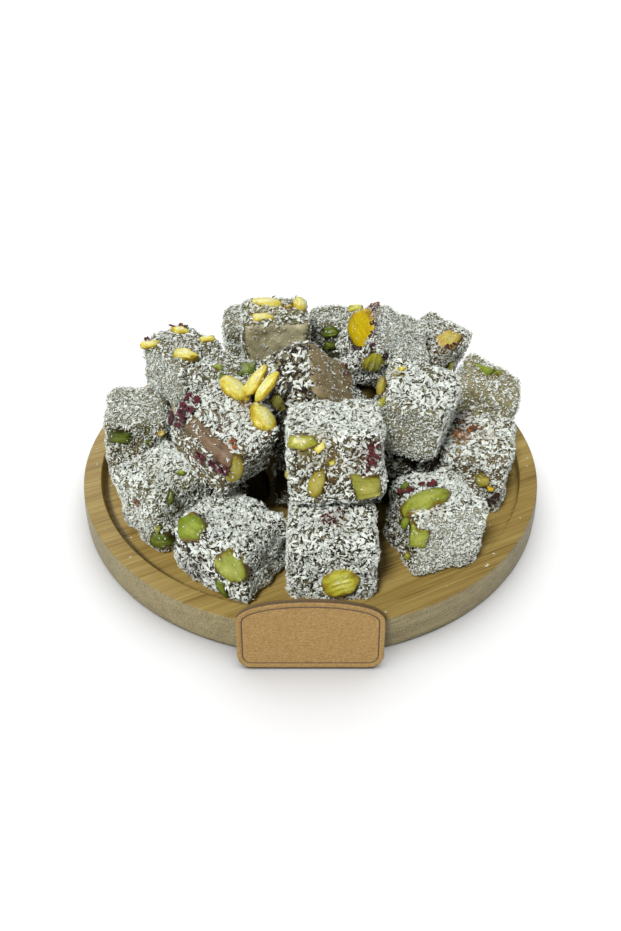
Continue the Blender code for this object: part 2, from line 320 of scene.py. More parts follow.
# the side starts where the distance from the middle passes 98 mm
flat_place = node(tree, "VectorMath", {"operation": "MULTIPLY", 1: (1, 1, 0)}, {0: place})
distance = node(tree, "VectorMath", {"operation": "LENGTH"}, {0: flat_place.outputs[0]})
on_side = node(tree, "MapRange", {1: 0.0978, 2: 0.0982}, {0: distance.outputs["Value"]})
wood_mix = node(
    tree, "Mix", {"data_type": "RGBA"}, {0: on_side.outputs[0], 6: face_colour, 7: side_colour}
)
surface(tree, wood_mix.outputs[2], fibres.outputs[0], 0.25, 0.3)
plate = new_mesh("bamboo_plate", *turned(profile, 256), bamboo)
add_piece(plate, "bamboo", "plate")
plate_and_plaque.objects.link(plate)

# ---------------------------------------------------------------------------------------------
# The plaque: a thin fibreboard shape with a softly arched top, laser cut with a fine border
# line burnt round its face, left blank. It stands on the table and leans on the plate's edge.
PLAQUE_WIDTH = 50.0
PLAQUE_SIDE = 17.5
PLAQUE_HEIGHT = 26.5
PLAQUE_THICKNESS = 2.5
PLAQUE_CORNER = 5.0
PLAQUE_FOOT = (0.0, -104.8, 0.8)
PLAQUE_LEAN = 16.0
BORDER_INSET = 1.7
BORDER_WIDTH = 0.5
BORDER_DEPTH = 0.25


def smooth_line(points, steps):
    """Resamples a polyline at even distances along it."""
    points = np.array(points, float)
    lengths = np.linalg.norm(np.diff(points, axis=0), axis=1)
    along = np.concatenate([[0], np.cumsum(lengths)])
    at = np.linspace(0, along[-1], steps)
    return np.stack([np.interp(at, along, column) for column in points.T], axis=1)


def unit(vectors):
    """Vectors divided by their lengths."""
    return vectors / np.linalg.norm(vectors, axis=-1, keepdims=True)


def plaque_outline(steps):
    """Round lower corners, straight sides, and an arch whose height is the sine to the 0.7."""
    half = PLAQUE_WIDTH / 2
    left = arc((-half + PLAQUE_CORNER, PLAQUE_CORNER), PLAQUE_CORNER, 180, 270, 12)
    right = arc((half - PLAQUE_CORNER, PLAQUE_CORNER), PLAQUE_CORNER, 270, 360, 12)
    angle = np.linspace(0, np.pi, 60)
    bulge = (PLAQUE_HEIGHT - PLAQUE_SIDE) * np.sin(angle) ** 0.7
    arch = np.stack([half * np.cos(angle), PLAQUE_SIDE + bulge], axis=1)
    closed = np.concatenate([left, right, arch, left[:1]])
    return smooth_line(closed, steps + 1)[:-1]


def plaque_mesh(steps):
    """Rings of the outline, each drawn in by a distance, set at a depth and shrunk to a share,
    from the middle of the face over the burnt line and the edge to the middle of the back."""
    outline = plaque_outline(steps)
    ahead = np.roll(outline, -2, axis=0) - np.roll(outline, 2, axis=0)
    inward = unit(np.stack([-ahead[:, 1], ahead[:, 0]], axis=1))
    centre = np.array([0.0, PLAQUE_HEIGHT * 0.45])
    line_in, line_out = BORDER_INSET + BORDER_WIDTH, BORDER_INSET
    groove = -BORDER_DEPTH
    back = -PLAQUE_THICKNESS
    rings = [(line_in + 0.1, 0.0, 0.35), (line_in + 0.1, 0.0, 1.0), (line_in, 0.0, 1.0)]
    rings += [(line_in - 0.1, groove, 1.0), (line_out + 0.1, groove, 1.0), (line_out, 0.0, 1.0)]
    rings += [(0.25, 0.0, 1.0), (0.05, -0.08, 1.0), (0.0, -0.25, 1.0), (0.0, back + 0.25, 1.0)]
    rings += [(0.25, back, 1.0), (3.0, back, 1.0), (3.0, back, 0.35)]
    points, burnt = [], []
    for inset, depth, share in rings:
        ring = centre + (outline + inward * inset - centre) * share
        points.append(np.column_stack([ring, np.full(steps, depth)]))
        burnt.append(np.full(steps, 1.0 if depth == groove else 0.15 if depth < -0.2 else 0.0))
    points += [[[*centre, 0.0]], [[*centre, back]]]
    burnt.append([0.0, 0.0])
    return np.concatenate(points), ring_faces(len(rings), steps), np.concatenate(burnt)


def turn_matrix(yaw, pitch, roll):
    """Turn about X by pitch, then about Y by roll, then about Z by yaw."""
    (cz, cx, cy), (sz, sx, sy) = (f(np.radians([yaw, pitch, roll])) for f in (np.cos, np.sin))
    about_x = np.array([[1, 0, 0], [0, cx, -sx], [0, sx, cx]])
    about_y = np.array([[cy, 0, sy], [0, 1, 0], [-sy, 0, cy]])
    about_z = np.array([[cz, -sz, 0], [sz, cz, 0], [0, 0, 1]])
    return about_z @ about_y @ about_x


points, faces, burnt = plaque_mesh(240)
points = points @ turn_matrix(0, 90 - PLAQUE_LEAN, 0).T + PLAQUE_FOOT
board, tree = new_material(
    # thin medium fibreboard with a wax finish: matt, pale brown, flecked with longer fibres
    "fibreboard",
    {"Roughness": 0.7, "Specular IOR Level": 0.3},
)
place = node(tree, "TexCoord").outputs["Object"]
# flecks are 0.9 mm long and 0.3 mm wide
fleck_place = node(tree, "Mapping", {"Scale": (1100, 3300, 3300)}, {"Vector": place}).outputs[0]
flecks = node(
    tree, "TexNoise", {"Scale": 1.0, "Detail": 3, "Roughness": 0.6}, {"Vector": fleck_place}
).outputs["Fac"]
board_stops = ((0.30, "#8A6C40"), (0.5, "#A4834F"), (0.70, "#B99A66"))
board_colour = node(tree, "ValToRGB", {"stops": board_stops}, {"Fac": flecks}).outputs[0]
burn = node(tree, "Attribute", {"attribute_name": "burnt"}).outputs["Fac"]
board_mix = node(
    tree, "Mix", {"data_type": "RGBA", 7: linear("#5A4C42")}, {0: burn, 6: board_colour}
)
surface(tree, board_mix.outputs[2], flecks, 0.3, 0.2)
plaque = new_mesh("blank_plaque", points, faces, board, True, {"burnt": burnt})
add_piece(plaque, "board", "plaque")
plate_and_plaque.objects.link(plaque)

# ---------------------------------------------------------------------------------------------
# The gel: starch and sugar boiled, poured, set in a slab and cut by hand into cubes of about
# 28 mm, so that no two are alike. It is clear grey-brown where no coconut sticks.
# Each cube: yaw, pitch, roll in degrees, size along its own x, y and z in mm.
CUBES = {
    "front_1": (-33, -4, 0, 31, 27, 25),
    "front_2": (0, 0, 0, 30, 29, 30),
    "front_3": (18, -4, 0, 27, 27, 28),
    "left_1": (-45, 0, 0, 27, 26, 29),
    "left_2": (5, 0, 3, 26, 29, 30),
    "right_1": (-15, 0, 0, 28, 28, 30),
    "inner_01": (10, 0, 0, 28, 26, 24),
    "inner_02": (-10, 0, 0, 26, 26, 26),
    "inner_03": (10, 0, 0, 28, 27, 26),
    "inner_04": (20, 0, 0, 26, 26, 26),
    "inner_05": (-5, 0, 0, 28, 27, 30),
    "inner_06": (10, 0, 0, 26, 26, 25),
    "inner_07": (-5, 0, 0, 24, 24, 23),
    "inner_08": (0, 0, 0, 27, 26, 20),
    "inner_09": (10, 0, 0, 27, 26, 20),
    "inner_10": (-25, 0, 0, 25, 25, 21),
    "inner_11": (-35, 0, 0, 24, 23, 16),
    "middle_1": (45, 25, -8, 25, 29, 25),
    "middle_2": (0, -5, -5, 31, 26, 28),
    "middle_3": (-22, 10, 7, 27, 27, 27),
    "top_1": (5, 0, 0, 28, 27, 29.5),
    "top_2": (-12, -60, -35, 26, 31, 26),
    "top_3": (10, 25, 28, 29, 27, 26),
    "upper_1": (-40, 0, 5, 26, 24, 25),
    "upper_2": (-25, 0, 5, 25, 22, 25),
    "right_2": (-15, 0, 18, 28, 26, 29),
    "back_1": (10, -5, 0, 26, 25, 22),
    "back_2": (0, -5, 0, 26, 25, 22),
    "back_3": (-40, -5, 10, 23, 23, 25),
}
FACES = ("-x", "+x", "-y", "+y", "-z", "+z")
# Coat of each face: share of it under flakes, their coarseness, how many of them are dry and
# white on top, not soaked, clear and darkened as painted shade below, how much fine dust fills
# the gaps, colour of the gel; most coated faces take a gel darker than the bare gel, partly its
# own colour and partly painted shade in the gaps between flakes
COAT = {
    "front_1": {
        "all": (0.8, 1.15, 0.6, 0.0, "#2C2A20"),
        "-y": (0.42, 1.4, 0.42, 0.0, "#181410"),
        "+x": (0.88, 0.95, 0.66, 0.0, "#32280F"),
    },
    "front_2": {
        "all": (0.66, 1.15, 0.42, 0.0, "#242012"),
        "-y": (0.64, 1.15, 0.5, 0.0, "#161410"),
        "-x": (0.9, 0.9, 0.55, 0.1, "#544E38"),
    },
    "front_3": {
        "all": (0.82, 1.15, 0.6, 0.0, "#2E2810"),
        "-x": (0.6, 0.85, 0.35, 0.0, "#33281A"),
        "-y": (1.0, 0.75, 0.7, 0.5, "#A9AB9A"),
    },
    "left_1": {
        "all": (0.9, 1.15, 0.45, 0.1, "#66624A"),
        "-y": (0.97, 0.85, 0.5, 0.35, "#84826A"),
        "+x": (0.92, 0.85, 0.5, 0.2, "#76723A"),
    },
    "left_2": {"all": (1.0, 0.75, 0.5, 0.5, "#8E8E7C"), "-y": (0.82, 0.85, 0.4, 0.2, "#645A36")},
    "right_1": {"all": (0.82, 1.15, 0.3, 0.05, "#5E5036"), "-y": (0.62, 1.0, 0.45, 0.2, "#6E5E3A")},
    "middle_1": {
        "all": (0.8, 1.05, 0.6, 0.1, "#6E5A44"),
        "-x": (0.32, 0.9, 0.45, 0.1, "#75653F"),
        "-y": (0.62, 0.8, 0.3, 0.0, "#3A2C12"),
    },
    "middle_2": {"all": (0.86, 1.1, 0.5, 0.05, "#4A4838"), "-y": (0.55, 1.1, 0.36, 0.0, "#3A2E10")},
    "middle_3": {
        "all": (0.7, 1.25, 0.35, 0.0, "#3A3620"),
        "-y": (0.97, 0.65, 0.45, 0.5, "#98957C"),
    },
    "top_1": {"all": (0.56, 1.0, 0.25, 0.1, "#66603A"), "-y": (0.12, 0.6, 0.5, 0.3, "#D8D2AC")},
    "top_2": {"all": (0.27, 1.5, 0.2, 0.0, "#2E241E"), "+x": (0.1, 0.6, 0.5, 0.1, "#AE9C74")},
    "top_3": {
        "all": (1.0, 0.72, 0.6, 0.55, "#A0A298"),
        "-x": (0.6, 1.05, 0.45, 0.0, "#2A1A10"),
        "-y": (0.72, 1.0, 0.5, 0.0, "#4C4022"),
    },
    "upper_1": {"all": (0.85, 0.9, 0.4, 0.2, "#6C6648"), "-y": (1.0, 0.65, 0.6, 0.5, "#A4A494")},
    "upper_2": {"all": (0.85, 0.9, 0.4, 0.15, "#5E5838")},
    "right_2": {"all": (0.55, 0.8, 0.45, 0.4, "#A09870")},
    "back_1": {"all": (0.8, 0.8, 0.35, 0.35, "#7C7C64")},
    "back_2": {"all": (0.8, 0.8, 0.3, 0.35, "#6C6C52")},
    "back_3": {"all": (0.82, 0.95, 0.4, 0.1, "#645C48")},
    "inner": {"all": (0.95, 0.95, 0.5, 0.2, "#76705A")},
    # the buried cubes get a darker gel and a sparser, less dry coat: painted shade deep between the
    # cubes
    "buried": {"all": (0.75, 1.0, 0.3, 0.0, "#3A3226")},
}
BURIED = ("inner_01", "inner_02", "inner_03", "inner_06", "inner_07")
# Places where petals, kernels' skins or syrup have coloured the gel: a point in the cube's own
# axes, the radius of the patch, its colour and strength
STAINS = {
    "middle_1": [
        ((-7, 13, 12.5), 3.5, "#5A1F2C", 0.8),
        ((-12.5, 11, 11), 3, "#5A1F2C", 0.7),
        ((-12.5, -9, 6), 4, "#4A1622", 0.9),
        ((-5.5, -8, 12.5), 2.5, "#9A6A30", 0.7),
        ((9, 0, 12.5), 6, "#A8843A", 0.5),
    ],
    "middle_2": [
        ((12.6, -13, 6), 5, "#6A1418", 0.8),
        ((-7, -13, 10), 7, "#A89838", 0.5),
        ((0, -13, 4), 8, "#8A6A30", 0.4),
    ],
    "middle_3": [((-11, 2, 13.5), 4, "#A89A30", 0.7)],
    "front_2": [((-0.5, -3, 15), 4.5, "#5A1E16", 0.8), ((3, -14.5, -10), 5, "#2A1210", 0.8)],
    "front_1": [((-6, -13.5, -6), 8, "#33202A", 0.7)],
    "front_3": [((-5, -9, 14), 5, "#8A6A30", 0.5), ((-13.5, -4, 0), 7, "#4A4A1A", 0.6)],
    "left_1": [((10, -4, 14.5), 5, "#4E5A28", 0.6), ((0, -2, 14.5), 4, "#7A7048", 0.6)],
    "left_2": [((4, -14.5, 9), 5, "#5A5A28", 0.7)],
    "right_1": [
        ((9.5, -14, -6), 5, "#4A2A10", 0.8),
        ((-7, -4.5, 15), 5, "#A06A20", 0.8),
        ((-8, 8, 15), 6, "#5A3020", 0.8),
        ((3, 0, 15), 5, "#9A7A40", 0.6),
    ],
    "upper_1": [((3, -2, 12.5), 6, "#8A7A50", 0.5)],
    "upper_2": [((2, -4, 12.5), 7, "#6A6A2A", 0.6)],
    "top_1": [((-3, 2, 14.7), 9, "#B0A050", 0.6), ((5, 1, 14.7), 3, "#B87A28", 0.8)],
    "top_2": [((11, 12, 11), 6, "#6A2A26", 0.7)],
    "top_3": [((-14, -4, 10), 5, "#4A1A1E", 0.7), ((-14, 6, 12), 4, "#9A4A1A", 0.7)],
    "back_3": [((9, -9, 8), 5, "#9A7A3A", 0.5)],
}
GEL_ROUNDING = 3.0
GEL_STEPS, INNER_STEPS = 30, 16
# How far each corner of a cube is pulled in or out, at most
CORNER_PULL = (-1.6, 0.9)
# Unevenness of the cut faces: height and wavelength in mm, seed
UNEVEN = ((0.75, 11.0, 200), (0.22, 3.5, 300))
POCKET_DEPTH = 3.0
# Each kernel: the way it faces in its cube's axes, turn of its long side, length, width,
# thickness in mm, corners of its outline (0 is an oval), flatness, tone, record's colour
KERNELS = {
    "front_1_a": ((0, -1, 1.2), 5, 12.5, 10.5, 8, 5, 7, "fresh", "green"),
    "front_1_b": ((0.3, -1, 0), -75, 15, 12.5, 8, 6, 7, "pale", "green"),
    "front_2_a": ((0, -1, 0.35), 25, 14, 12, 7, 6, 6, "olive", "yellow"),
    "front_3_a": ((-0.2, 0, 1), 5, 20, 11, 8, 0, 2.5, "pale", "green"),
    "front_3_b": ((-0.6, -1, 0), 85, 13.5, 9.5, 6.5, 4, 5, "pale", "green"),
    "left_1_a": ((1, -1, 0), 0, 10, 9, 7, 5, 4, "dark", "green"),
    "left_2_a": ((0, -1, 0), -5, 12, 8, 6, 4, 4, "deep", "green"),
    "middle_1_a": ((0.3, 0, 1), -82, 13.5, 9, 6.5, 0, 2, "cream", "yellow"),
    "middle_1_b": ((0.3, 0, 1), 70, 13.5, 9, 6.5, 0, 2, "cream", "yellow"),
    "middle_1_c": ((-0.5, -1, 0.5), 80, 12, 6.5, 5, 0, 4, "syrup", "yellow"),
    "middle_2_a": ((0, -1, 0.6), -5, 10.5, 6, 5, 5, 3, "mixed", "yellow"),
    "middle_2_b": ((0, -1, 0), 70, 12, 6, 5, 0, 4, "syrup", "yellow"),
    "middle_2_c": ((0, -1, 0), 5, 13, 12.5, 7, 4, 8, "block", "green"),
    "top_1_a": ((0, 0, 1), -15, 15, 9.5, 6, 0, 3, "cream", "yellow"),
    "top_1_b": ((0, 0, 1), 15, 11.5, 8, 5, 4, 3, "cream", "yellow"),
    "top_1_c": ((0.2, 0, 1), 90, 12.5, 6, 5, 0, 3, "cream", "yellow"),
    "top_2_a": ((0, -1, 0), -60, 11, 6, 6, 0, 3, "olive", "yellow"),
    "top_3_a": ((-1, -0.45, 0.1), 5, 20, 16, 9, 0, 4, "gold", "yellow"),
    "top_3_b": ((0, -1, 0), 100, 13.5, 9, 6, 0, 3, "olive", "green"),
    "upper_1_a": ((0, 0, 1), 25, 12, 7, 5, 5, 4, "cream", "yellow"),
    "upper_1_b": ((0, 0, 1), 60, 9, 7, 5, 4, 3, "cream", "yellow"),
    "upper_2_a": ((0, 0, 1), -60, 12.5, 9.5, 6, 4, 3, "dark", "green"),
    "back_2_a": ((0, -1, 0), 0, 9, 6, 5, 5, 3, "dark", "green"),
    "back_2_b": ((0, -0.4, 1), 10, 10, 6.5, 5, 4, 3, "olive", "yellow"),
    "back_3_a": ((0.5, -0.4, 1), 35, 17, 12, 8, 5, 2.5, "tan", "tan"),
    "right_1_a": ((0, -1, 0), 5, 7, 6.5, 5, 5, 3, "syrup", "yellow"),
    "right_2_a": ((0, 0, 1), 20, 12, 9, 6, 3, 3, "fresh", "green"),
}


def waves(points, wavelength, seed):
    """Unevenness from -1 to 1: the mean of sixteen plane waves of random direction and phase."""
    rng = np.random.default_rng(seed)
    ways = rng.normal(size=(16, 3))
    ways *= (rng.uniform(0.7, 1.5, 16) / np.linalg.norm(ways, axis=1) / wavelength)[:, None]
    phase = rng.uniform(0, 2 * np.pi, 16)
    return np.clip(np.sin(2 * np.pi * points @ ways.T + phase).sum(axis=1) / 5.0, -1, 1)


def rounded_block(size, rounding, steps):
    """A grid point of each face is clamped to the core box and set one rounding radius away
    from it; points shared by two faces are made one."""
    line = np.linspace(-1, 1, steps + 1)
    s, t = (grid.ravel() for grid in np.meshgrid(line, line, indexing="ij"))
    index = np.arange(s.size).reshape(steps + 1, steps + 1)
    quad = grid_quads(index)
    half = np.array(size) / 2
    points, quads = [], []
    for axis in range(3):
        for sign in (-1, 1):
            face = np.empty((s.size, 3))
            face[:, axis] = sign * half[axis]
            face[:, (axis + 1) % 3] = s * half[(axis + 1) % 3]
            face[:, (axis + 2) % 3] = t * half[(axis + 2) % 3]
            quads.append((quad if sign > 0 else quad[:, ::-1]) + len(points) * s.size)
            points.append(face)
    points = np.concatenate(points)
    core = half - rounding
    inside = np.clip(points, -core, core)
    outward = unit(points - inside)
    points = inside + outward * rounding
    _, first, same = np.unique(np.round(points, 4), axis=0, return_index=True, return_inverse=True)
    return points[first], outward[first], same.ravel()[np.concatenate(quads)]


def face_of(points, size):
    """Number, as in FACES, of the side of the cube that each point is nearest to; the borders
    wander by about 1 mm."""
    ragged = [0.07 * waves(points, 4.0, seed) for seed in (61, 62, 63)]
    reach = points / (np.array(size) / 2)
    axis = (np.abs(reach) + np.stack(ragged, axis=1)).argmax(axis=1)
    return 2 * axis + (reach[np.arange(len(points)), axis] > 0)


def coat_of(key, points, size):
    """Share under flakes, coarseness, share of dry flakes, dust, and colour of the gel with the
    painted shade of the gaps between flakes, at points of the cube."""
    group = "buried" if key in BURIED else "inner" if key.startswith("inner") else key
    rows = [COAT[group].get(face, COAT[group]["all"]) for face in FACES]
    face = face_of(points, size)
    cover, grit, dry, dust = np.array([row[:4] for row in rows])[face].T
    gel_and_shade_tone = np.array([linear(row[4]) for row in rows])[face]
    if key == "middle_1":
        # its top is rubbed bare along the left edge
        bare = (points[:, 0] < -7.5) & (points[:, 2] > 8) & (np.abs(points[:, 1] + 2) < 12)
        cover, dust = np.where(bare, 0.06, cover), np.where(bare, 0.05, dust)
        gel_and_shade_tone[bare] = linear("#8E7458")
    return cover, grit, dry, dust, gel_and_shade_tone


def stain_of(key, points, colour):
    """Base colour drawn towards each stain by a soft disc with a ragged edge."""
    colour = np.array(colour)
    for number, (centre, radius, tone, strength) in enumerate(STAINS.get(key, [])):
        away = np.linalg.norm(points - np.array(centre), axis=1) / radius
        amount = strength * np.clip(1.6 - 1.3 * away + 0.5 * waves(points, 3.0, number), 0, 1)
        colour += (np.array(linear(tone)) - colour) * amount[:, None]
    return colour


def middle_of(name):
    """Middle of the box of a CAD node, in mm."""
    return np.array(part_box(name)).mean(axis=0) / MM


def mottled(tree, layer, scale, detail, roughness, stops):
    """Colour kept at the points of the mesh times a ramp over noise; gives both."""
    own = node(tree, "Attribute", {"attribute_name": layer}).outputs["Color"]
    place = node(tree, "TexCoord").outputs["Object"]
    settings = {"Scale": scale, "Detail": detail, "Roughness": roughness}
    noise = node(tree, "TexNoise", settings, {"Vector": place}).outputs["Fac"]
    ramp = node(tree, "ValToRGB", {"stops": stops}, {"Fac": noise}).outputs[0]
    settings = {"data_type": "RGBA", "blend_type": "MULTIPLY", 0: 1.0}
    return node(tree, "Mix", settings, {6: own, 7: ramp}).outputs[2], noise


# Each cube: its middle, its axes as columns, its size
placed = {
    key: (middle_of("lokum_" + key), turn_matrix(*row[:3]), np.array(row[3:], float))
    for key, row in CUBES.items()
}

gel, tree = new_material(
    # set starch gel, cast and cut with an oiled knife: clear grey-brown, softly wet at the cut
    "starch_gel",
    {
        "Roughness": 0.38,
        "IOR": 1.45,
        "Subsurface Weight": 0.35,
        "Subsurface Radius": (1.0, 0.75, 0.5),
        "Subsurface Scale": 0.004,
    },
)
# cloudiness in the gel is 3 mm across, dust of starch and fine coconut 0.5 mm
clouded, _ = mottled(tree, "gel_colour", 330, 4, 0.6, ((0.3, "#C4BCB0"), (0.7, "#FFFFFF")))
place = node(tree, "TexCoord").outputs["Object"]
dust_settings = {"Scale": 1900, "Detail": 2, "Roughness": 0.7}
dust = node(tree, "TexNoise", dust_settings, {"Vector": place}).outputs["Fac"]
# dust shows where its noise is over a level that falls as the face is dustier
dusted = node(tree, "Attribute", {"attribute_name": "dusted"}).outputs["Fac"]
level = node(tree, "MapRange", {1: 0.0, 2: 1.0, 3: 0.75, 4: 0.35}, {0: dusted}).outputs[0]
over = node(tree, "Math", {"operation": "SUBTRACT"}, {0: dust, 1: level}).outputs[0]
dusty = node(tree, "Math", {"operation": "MULTIPLY", 1: 9.0, "use_clamp": True}, {0: over})
dust_tone = {"data_type": "RGBA", 7: linear("#C2BFA8")}
gel_mix = node(tree, "Mix", dust_tone, {0: dusty.outputs[0], 6: clouded})
surface(tree, gel_mix.outputs[2], dust, 0.5, 0.4)


def outline(angle, corners, seed):
    """Radius of a polygon with soft corners: the sides' distances are added as a power mean,
    each side counting by the cosine of the angle from it. Four corners give a crisper block
    with two sides along the kernel, no corners give a rounder line."""
    rng = np.random.default_rng(seed)
    wander = 0.03 * np.cos(3 * angle + rng.uniform(0, 6))
    wander = wander + 0.02 * np.cos(7 * angle + rng.uniform(0, 6))
    if corners == 0:
        return 1 + wander
    sides = 2 * np.pi * (np.arange(corners) + rng.uniform(-0.16, 0.16, corners)) / corners
    sides = sides + rng.uniform(0, 2 * np.pi) * (corners != 4)
    reach = rng.uniform(0.85, 1.0, corners)
    facing = np.clip(np.cos(angle[..., None] - sides), 0, None) / reach
    power = 14 if corners == 4 else 9
    radius = (facing**power).sum(axis=-1) ** (-1 / power)
    return 2 * radius / (radius.mean() + radius.max()) + wander


def kernel_frame(facing, turn):
    """Axes of a kernel that looks along facing: long side, short side, outward, as columns."""
    outward = unit(np.array(facing, float))
    level = np.cross([0, 0, 1], outward)
    if np.linalg.norm(level) < 0.3 or abs(outward[2]) > 0.9:
        level = np.cross([0, 1, 0], outward)
    level = unit(level)
    cos, sin = math.cos(math.radians(turn)), math.sin(math.radians(turn))
    flat = np.column_stack([level, np.cross(outward, level), outward])
    return flat @ np.array([[cos, -sin, 0], [sin, cos, 0], [0, 0, 1]])


def share_out(own, size, corners, seed):
    """Distance from a kernel's middle in its own axes, 1 on its outline."""
    x, y = own[:, 0] / size[0] * 2, own[:, 1] / size[1] * 2
    return np.hypot(x, y) / outline(np.arctan2(y, x), corners, seed)


def sink_pocket(world, name, entry, seed):
    """Pushes the gel in behind a kernel, so that the kernel lies in a pocket."""
    facing, turn, *size, corners = entry[:6]
    axes = placed[name[:-2]][1] @ kernel_frame(facing, turn)
    own = (world - middle_of("pistachio_" + name)) @ axes
    inside = share_out(own, size, corners, seed)
    depth = POCKET_DEPTH * np.clip(3 - 3.2 * inside, 0, 1) * (np.abs(own[:, 2]) < size[2])
    return world - depth[:, None] * axes[:, 2]


gels = {}
for number, (key, (centre, turn, size)) in enumerate(placed.items()):
    steps = INNER_STEPS if key.startswith("inner") else GEL_STEPS
    rng = np.random.default_rng(100 + number)
    points, outward, quads = rounded_block(size, GEL_ROUNDING, steps)
    reach = points / (size / 2)
    pull = rng.uniform(*CORNER_PULL, (2, 2, 2, 3))
    shift = np.zeros_like(points)
    for corner in np.ndindex(2, 2, 2):
        side = 2 * np.array(corner) - 1
        weight = np.prod((1 + side * reach) / 2, axis=1)
        shift += weight[:, None] * pull[corner] * side
    points = points + shift
    for height, wavelength, seed in UNEVEN:
        points += outward * (height * waves(points, wavelength, seed + number))[:, None]
    # the gel takes its face's tone, darker on coated faces: partly the gel's own colour, partly
    # painted shade in the gaps between flakes
    *_, dust, gel_and_shade_tone = coat_of(key, points, size)
    colour = stain_of(key, points, gel_and_shade_tone)
    world = points @ turn.T + centre
    for kernel_number, (name, entry) in enumerate(KERNELS.items()):
        if name[:-2] == key:
            world = sink_pocket(world, name, entry, 500 + 10 * kernel_number)
    gels[key] = (points, quads, world)
    layers = {"gel_colour": colour, "dusted": dust}
    add_piece(new_mesh("gel_" + key, world, quads, gel, True, layers), "lokum", "lokum_" + key)

# ---------------------------------------------------------------------------------------------
# The kernels: whole and halved pistachios boiled into the gel and cut through with it. Each
# shows a flat or broken cut face, bright green or syrup-yellow, with dark skin at its edge.
KERNEL_TAPER = 0.18
KERNEL_LIFT = 0.1
SKIN = "#5A3A1C"
# Colours of heart, flesh and rim of the kernels' cut faces
TONES = {
    "fresh": ("#A2B04C", "#7C9224", "#7E6C24"),
    "pale": ("#BAC260", "#9CA83A", "#7C6626"),
    "mixed": ("#CCC666", "#A8AC3C", "#8A7424"),
    "block": ("#B8B456", "#9A9C34", "#7A6A20"),
    "olive": ("#DEDC74", "#CAC644", "#98801E"),
    "syrup": ("#C2B658", "#A89C34", "#76601A"),
    "dark": ("#869640", "#5C701E", "#3C400E"),
    "deep": ("#6E7E24", "#4E6014", "#34360C"),
    "cream": ("#F9F5AE", "#EDE064", "#C9AE2C"),
    "gold": ("#EACE18", "#DCC010", "#A8861A"),
    "tan": ("#DECE78", "#CEB45A", "#8E6428"),
}
SMOOTH_TONES = ("cream", "gold", "syrup", "mixed")
# Split kernels that stick out of the pile: yaw, pitch, length, width, thickness, corners,
# flatness, tone, record's colour
LOOSE_KERNELS = {
    "loose_1": (38, -40, 13.5, 5.8, 3.5, 0, 2, "cream", "yellow"),
    "loose_2": (38, -40, 13, 5.2, 3.5, 0, 2, "cream", "yellow"),
}
# Heights of the ridges, 3.8 mm apart, and of the finer ones, 1.3 mm apart, on a cut face
ROUGH_RIDGES, SMOOTH_RIDGES = (0.32, 0.06), (0.10, 0.02)


def kernel_mesh(length, width, thickness, corners, flatness, smooth, seed, around=56, down=15):
    """Angle u runs round the outline; s runs from the middle of the cut face over the rim to
    the middle of the back. The face is a superellipse, flat for a high power, the back an
    ellipse; the face is roughened in ridges along the grain."""
    rng = np.random.default_rng(seed)
    u = np.linspace(0, 2 * np.pi, around, endpoint=False)
    s = np.linspace(0, 2, 2 * down + 1)[1:-1]
    s, u = np.meshgrid(s, u, indexing="ij")
    ring = np.sin(np.pi / 2 * s)
    front = s <= 1
    rise = np.where(front, (1 - ring**flatness) ** (1 / flatness), -np.sqrt(1 - ring**2))
    radius = ring * outline(u, corners, seed)
    x, y = radius * np.cos(u), radius * np.sin(u)
    taper = 1 - KERNEL_TAPER * x
    shape = np.stack([x * length / 2, y * taper * width / 2, rise * thickness / 2], axis=-1)
    poles = np.array([[0, 0, thickness / 2], [0, 0, -thickness / 2]])
    points = np.concatenate([shape.reshape(-1, 3), poles])
    edge = np.concatenate([np.where(front, ring, 1).ravel(), [0, 1]])
    face = points[:, 2] > 0
    grain = points * np.array([0.3, 1.0, 1.0])
    coarse, fine = SMOOTH_RIDGES if smooth else ROUGH_RIDGES
    ridges = coarse * (1 - 2 * np.abs(waves(grain, 3.8, seed + 1)))
    ridges += fine * waves(grain, 1.3, seed + 2)
    tilt = points[:, :2] @ rng.uniform(-0.06, 0.06, 2)
    points[:, 2] += np.where(face, (ridges + tilt) * (1 - 0.5 * edge), 0)
    points[:, :2] *= 1 + 0.03 * waves(points, 2.2, seed + 3)[:, None]
    return points, ring_faces(2 * down - 1, around), edge


def kernel_colour(points, edge, heart, flesh, rim, seed):
    """Heart to flesh to rim by the distance from the middle, each border a ragged one, and a
    thin line of brown skin left round part of the rim."""
    ragged = edge + 0.2 * waves(points * [0.4, 1, 1], 3.2, seed + 5) - 0.04
    heart, flesh, rim, skin = (np.array(linear(c)) for c in (heart, flesh, rim, SKIN))
    to_flesh = np.clip((ragged - 0.2) / 0.5, 0, 1)[:, None]
    to_rim = np.clip((ragged - 0.74) / 0.26, 0, 1)[:, None]
    colour = heart + (flesh - heart) * to_flesh
    colour = colour + (rim - colour) * to_rim
    streaks = 1 + 0.06 * waves(points * [0.2, 1, 0.6], 1.2, seed + 7)
    on_skin = np.clip(15 * (edge - 0.965) + 0.5 * waves(points, 3.5, seed + 6), 0, 0.7)
    on_skin = np.where(edge > 0.92, on_skin, 0)[:, None]
    colour = colour * streaks[:, None] * (1 - on_skin) + skin * on_skin
    colour[:, 3] = 1.0
    return colour


def one_mesh(name, parts, material, smooth, layer):
    """Joins parts (points, face arrays, colours) into one mesh: the point numbers of each
    part follow on from those of the parts before it."""
    points, faces, colours = zip(*parts)
    starts = np.cumsum([0] + [len(own) for own in points])
    blocks = [
        np.concatenate([block + start for block, start in zip(alike, starts)])
        for alike in zip(*faces)
    ]
    layers = {layer: np.concatenate(colours)}
    return new_mesh(name, np.concatenate(points), blocks, material, smooth, layers)


